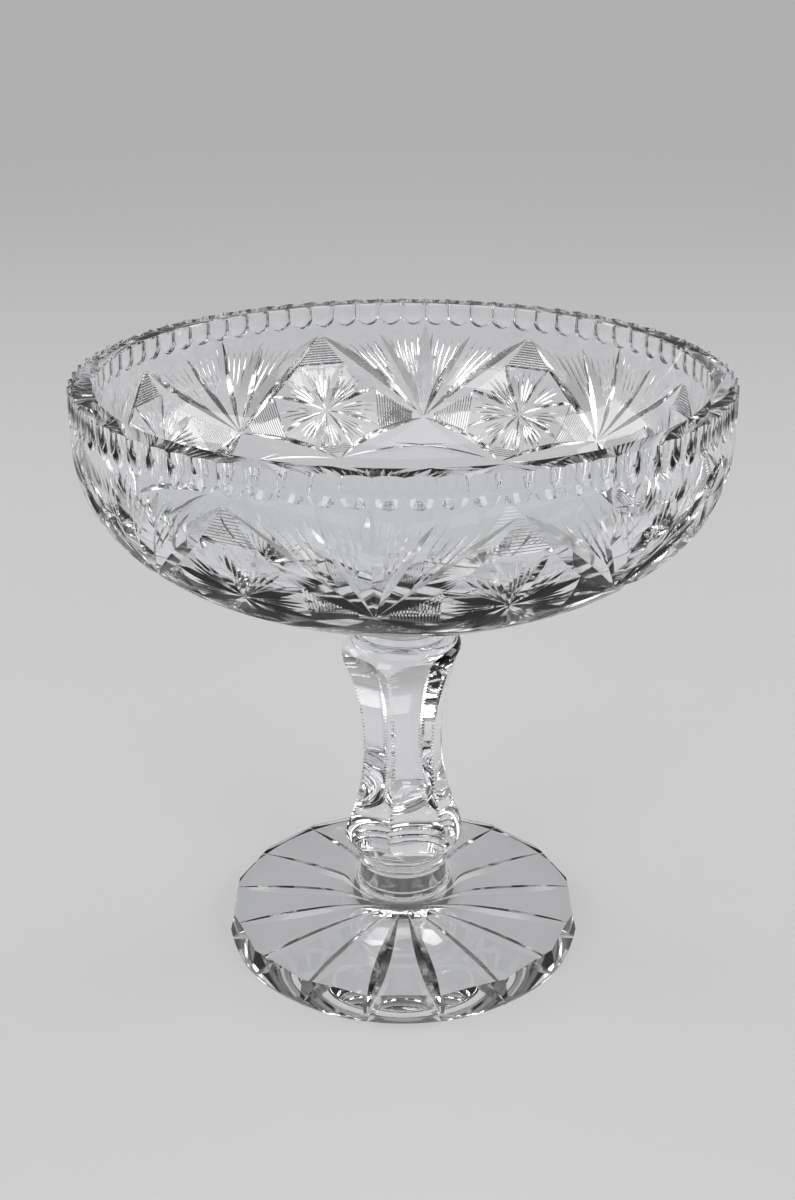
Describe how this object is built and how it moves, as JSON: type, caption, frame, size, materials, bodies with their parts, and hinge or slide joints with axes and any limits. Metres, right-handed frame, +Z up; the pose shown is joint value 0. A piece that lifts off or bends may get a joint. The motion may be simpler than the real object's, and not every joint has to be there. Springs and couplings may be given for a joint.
{
  "type": "footed fruit bowl",
  "caption": "Wide shallow cut-crystal fruit bowl on a waisted faceted stem and a thick star-cut foot, for serving or displaying fruit.",
  "frame": {"origin": "centre of the foot's underside, on the surface that the bowl stands on", "axes": "+Z up along the axis of the bowl and stem; -Y is the side that the picture shows"},
  "size_m": [0.22, 0.22, 0.2137],
  "materials": {
    "bowl_crystal": "clear lead crystal, polished, with polished mitre cuts and finely cut matt hatching",
    "stem_crystal": "clear lead crystal, polished facets with notched edges",
    "wafer_crystal": "clear lead crystal, fire-polished",
    "foot_crystal": "clear lead crystal, polished, star-cut underside"
  },
  "bodies": {
    "root": {"foot": "foot_crystal", "lower_wafer": "wafer_crystal", "stem": "stem_crystal", "upper_wafer": "wafer_crystal", "bowl": "bowl_crystal"}
  },
  "joints": []
}
